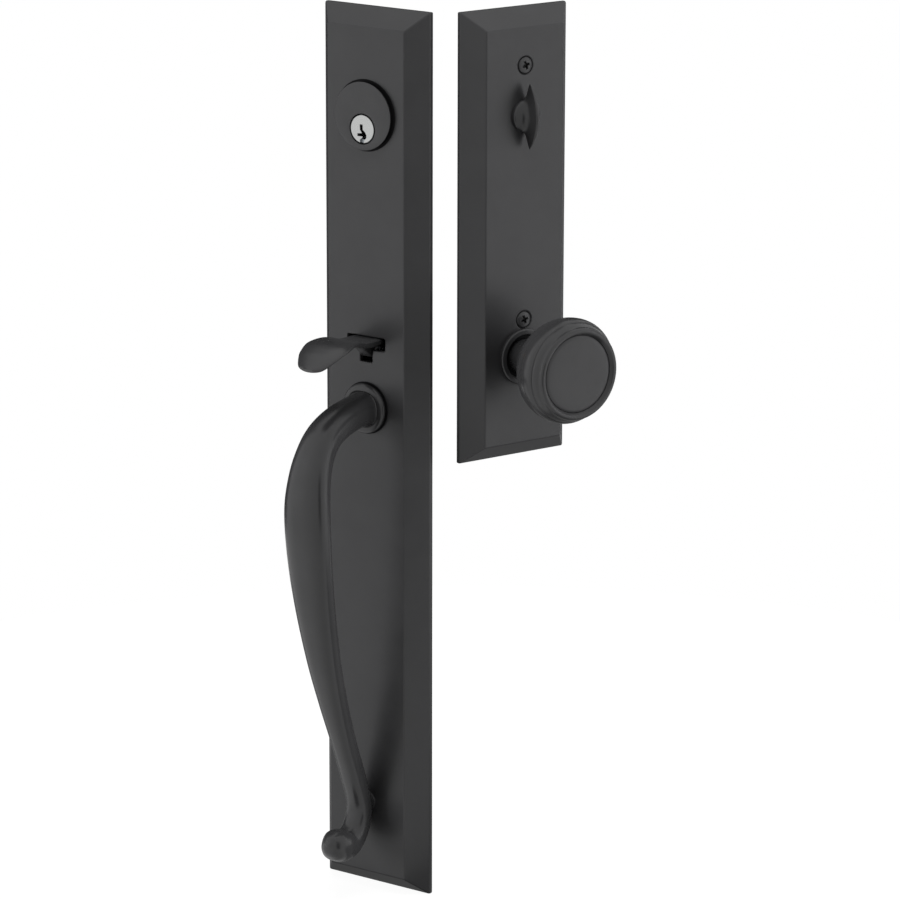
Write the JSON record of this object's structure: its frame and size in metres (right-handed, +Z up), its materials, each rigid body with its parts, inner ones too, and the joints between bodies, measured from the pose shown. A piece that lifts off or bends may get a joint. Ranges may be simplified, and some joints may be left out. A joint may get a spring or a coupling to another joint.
{
  "type": "entrance door handle set with knob",
  "caption": "Entrance door trim set in satin black: long bevelled outside plate with key cylinder, thumb lever and curved grip, and short inside plate with turn piece and round knob.",
  "frame": {"origin": "on the outside plate's door face, on its centre line, at the height of the latch and knob line", "axes": "+Z up, +Y into the door from the outside plate, +X to the right of someone facing that plate"},
  "size_m": [0.1704, 0.1577, 0.526],
  "materials": {
    "satin_black": "satin",
    "brass": "machined",
    "nickel": "satin nickel",
    "nylon": "moulded",
    "black_steel": "phosphated",
    "zinc_steel": "zinc plated"
  },
  "bodies": {
    "plates": {"exterior_plate": "satin_black", "cylinder_cap": "satin_black", "cylinder_body": "zinc_steel", "cylinder_nut": "brass", "driver_pins": "brass", "pin_springs": "zinc_steel", "pin_cover": "brass", "lever_pin": "zinc_steel", "lever_bracket": "black_steel", "bracket_screws": "zinc_steel", "lever_spring": "black_steel", "grip": "satin_black", "grip_flange": "satin_black", "grip_screws": "zinc_steel", "mounting_posts": "brass", "interior_plate": "satin_black", "through_bolts": "satin_black", "turn_bush": "nylon", "turn_washer": "zinc_steel", "knob_rose": "satin_black", "knob_bush": "black_steel", "return_spring": "zinc_steel"},
    "plug": {"cylinder_plug": "nickel", "key_pins": "brass", "plug_retainer": "zinc_steel", "cylinder_tailpiece": "zinc_steel"},
    "lever": {"thumb_lever": "satin_black"},
    "turn": {"turn_piece": "satin_black", "turn_spindle": "zinc_steel", "turn_clip": "zinc_steel"},
    "knob": {"knob_shell": "satin_black", "knob_face": "satin_black", "knob_set_screw": "zinc_steel", "spindle": "zinc_steel", "return_hub": "zinc_steel", "hub_clip": "zinc_steel"}
  },
  "joints": [
    {"name": "knob_turn", "type": "hinge", "parent": "plates", "child": "knob", "pos_m": [0.06, 0.043, -0.0008], "axis": [0.9426, -0.3338, 0], "range_deg": [-60, 60], "stiffness_Nm_per_rad": 0.6, "deforming": ["return_spring"]},
    {"name": "bolt_turn", "type": "hinge", "parent": "plates", "child": "turn", "pos_m": [0.06, 0.043, 0.1397], "axis": [0.9426, -0.3338, 0], "range_deg": [-90, 90]},
    {"name": "plug_turn", "type": "hinge", "parent": "plates", "child": "plug", "pos_m": [0, 0, 0.1322], "axis": [0, -1, 0], "range_deg": [-90, 90]},
    {"name": "lever_press", "type": "hinge", "parent": "plates", "child": "lever", "pos_m": [0, -0.0064, 0.0028], "axis": [1, 0, 0], "range_deg": [0, 16], "stiffness_Nm_per_rad": 0.6, "springref_deg": -20.05, "deforming": ["lever_spring"]}
  ]
}
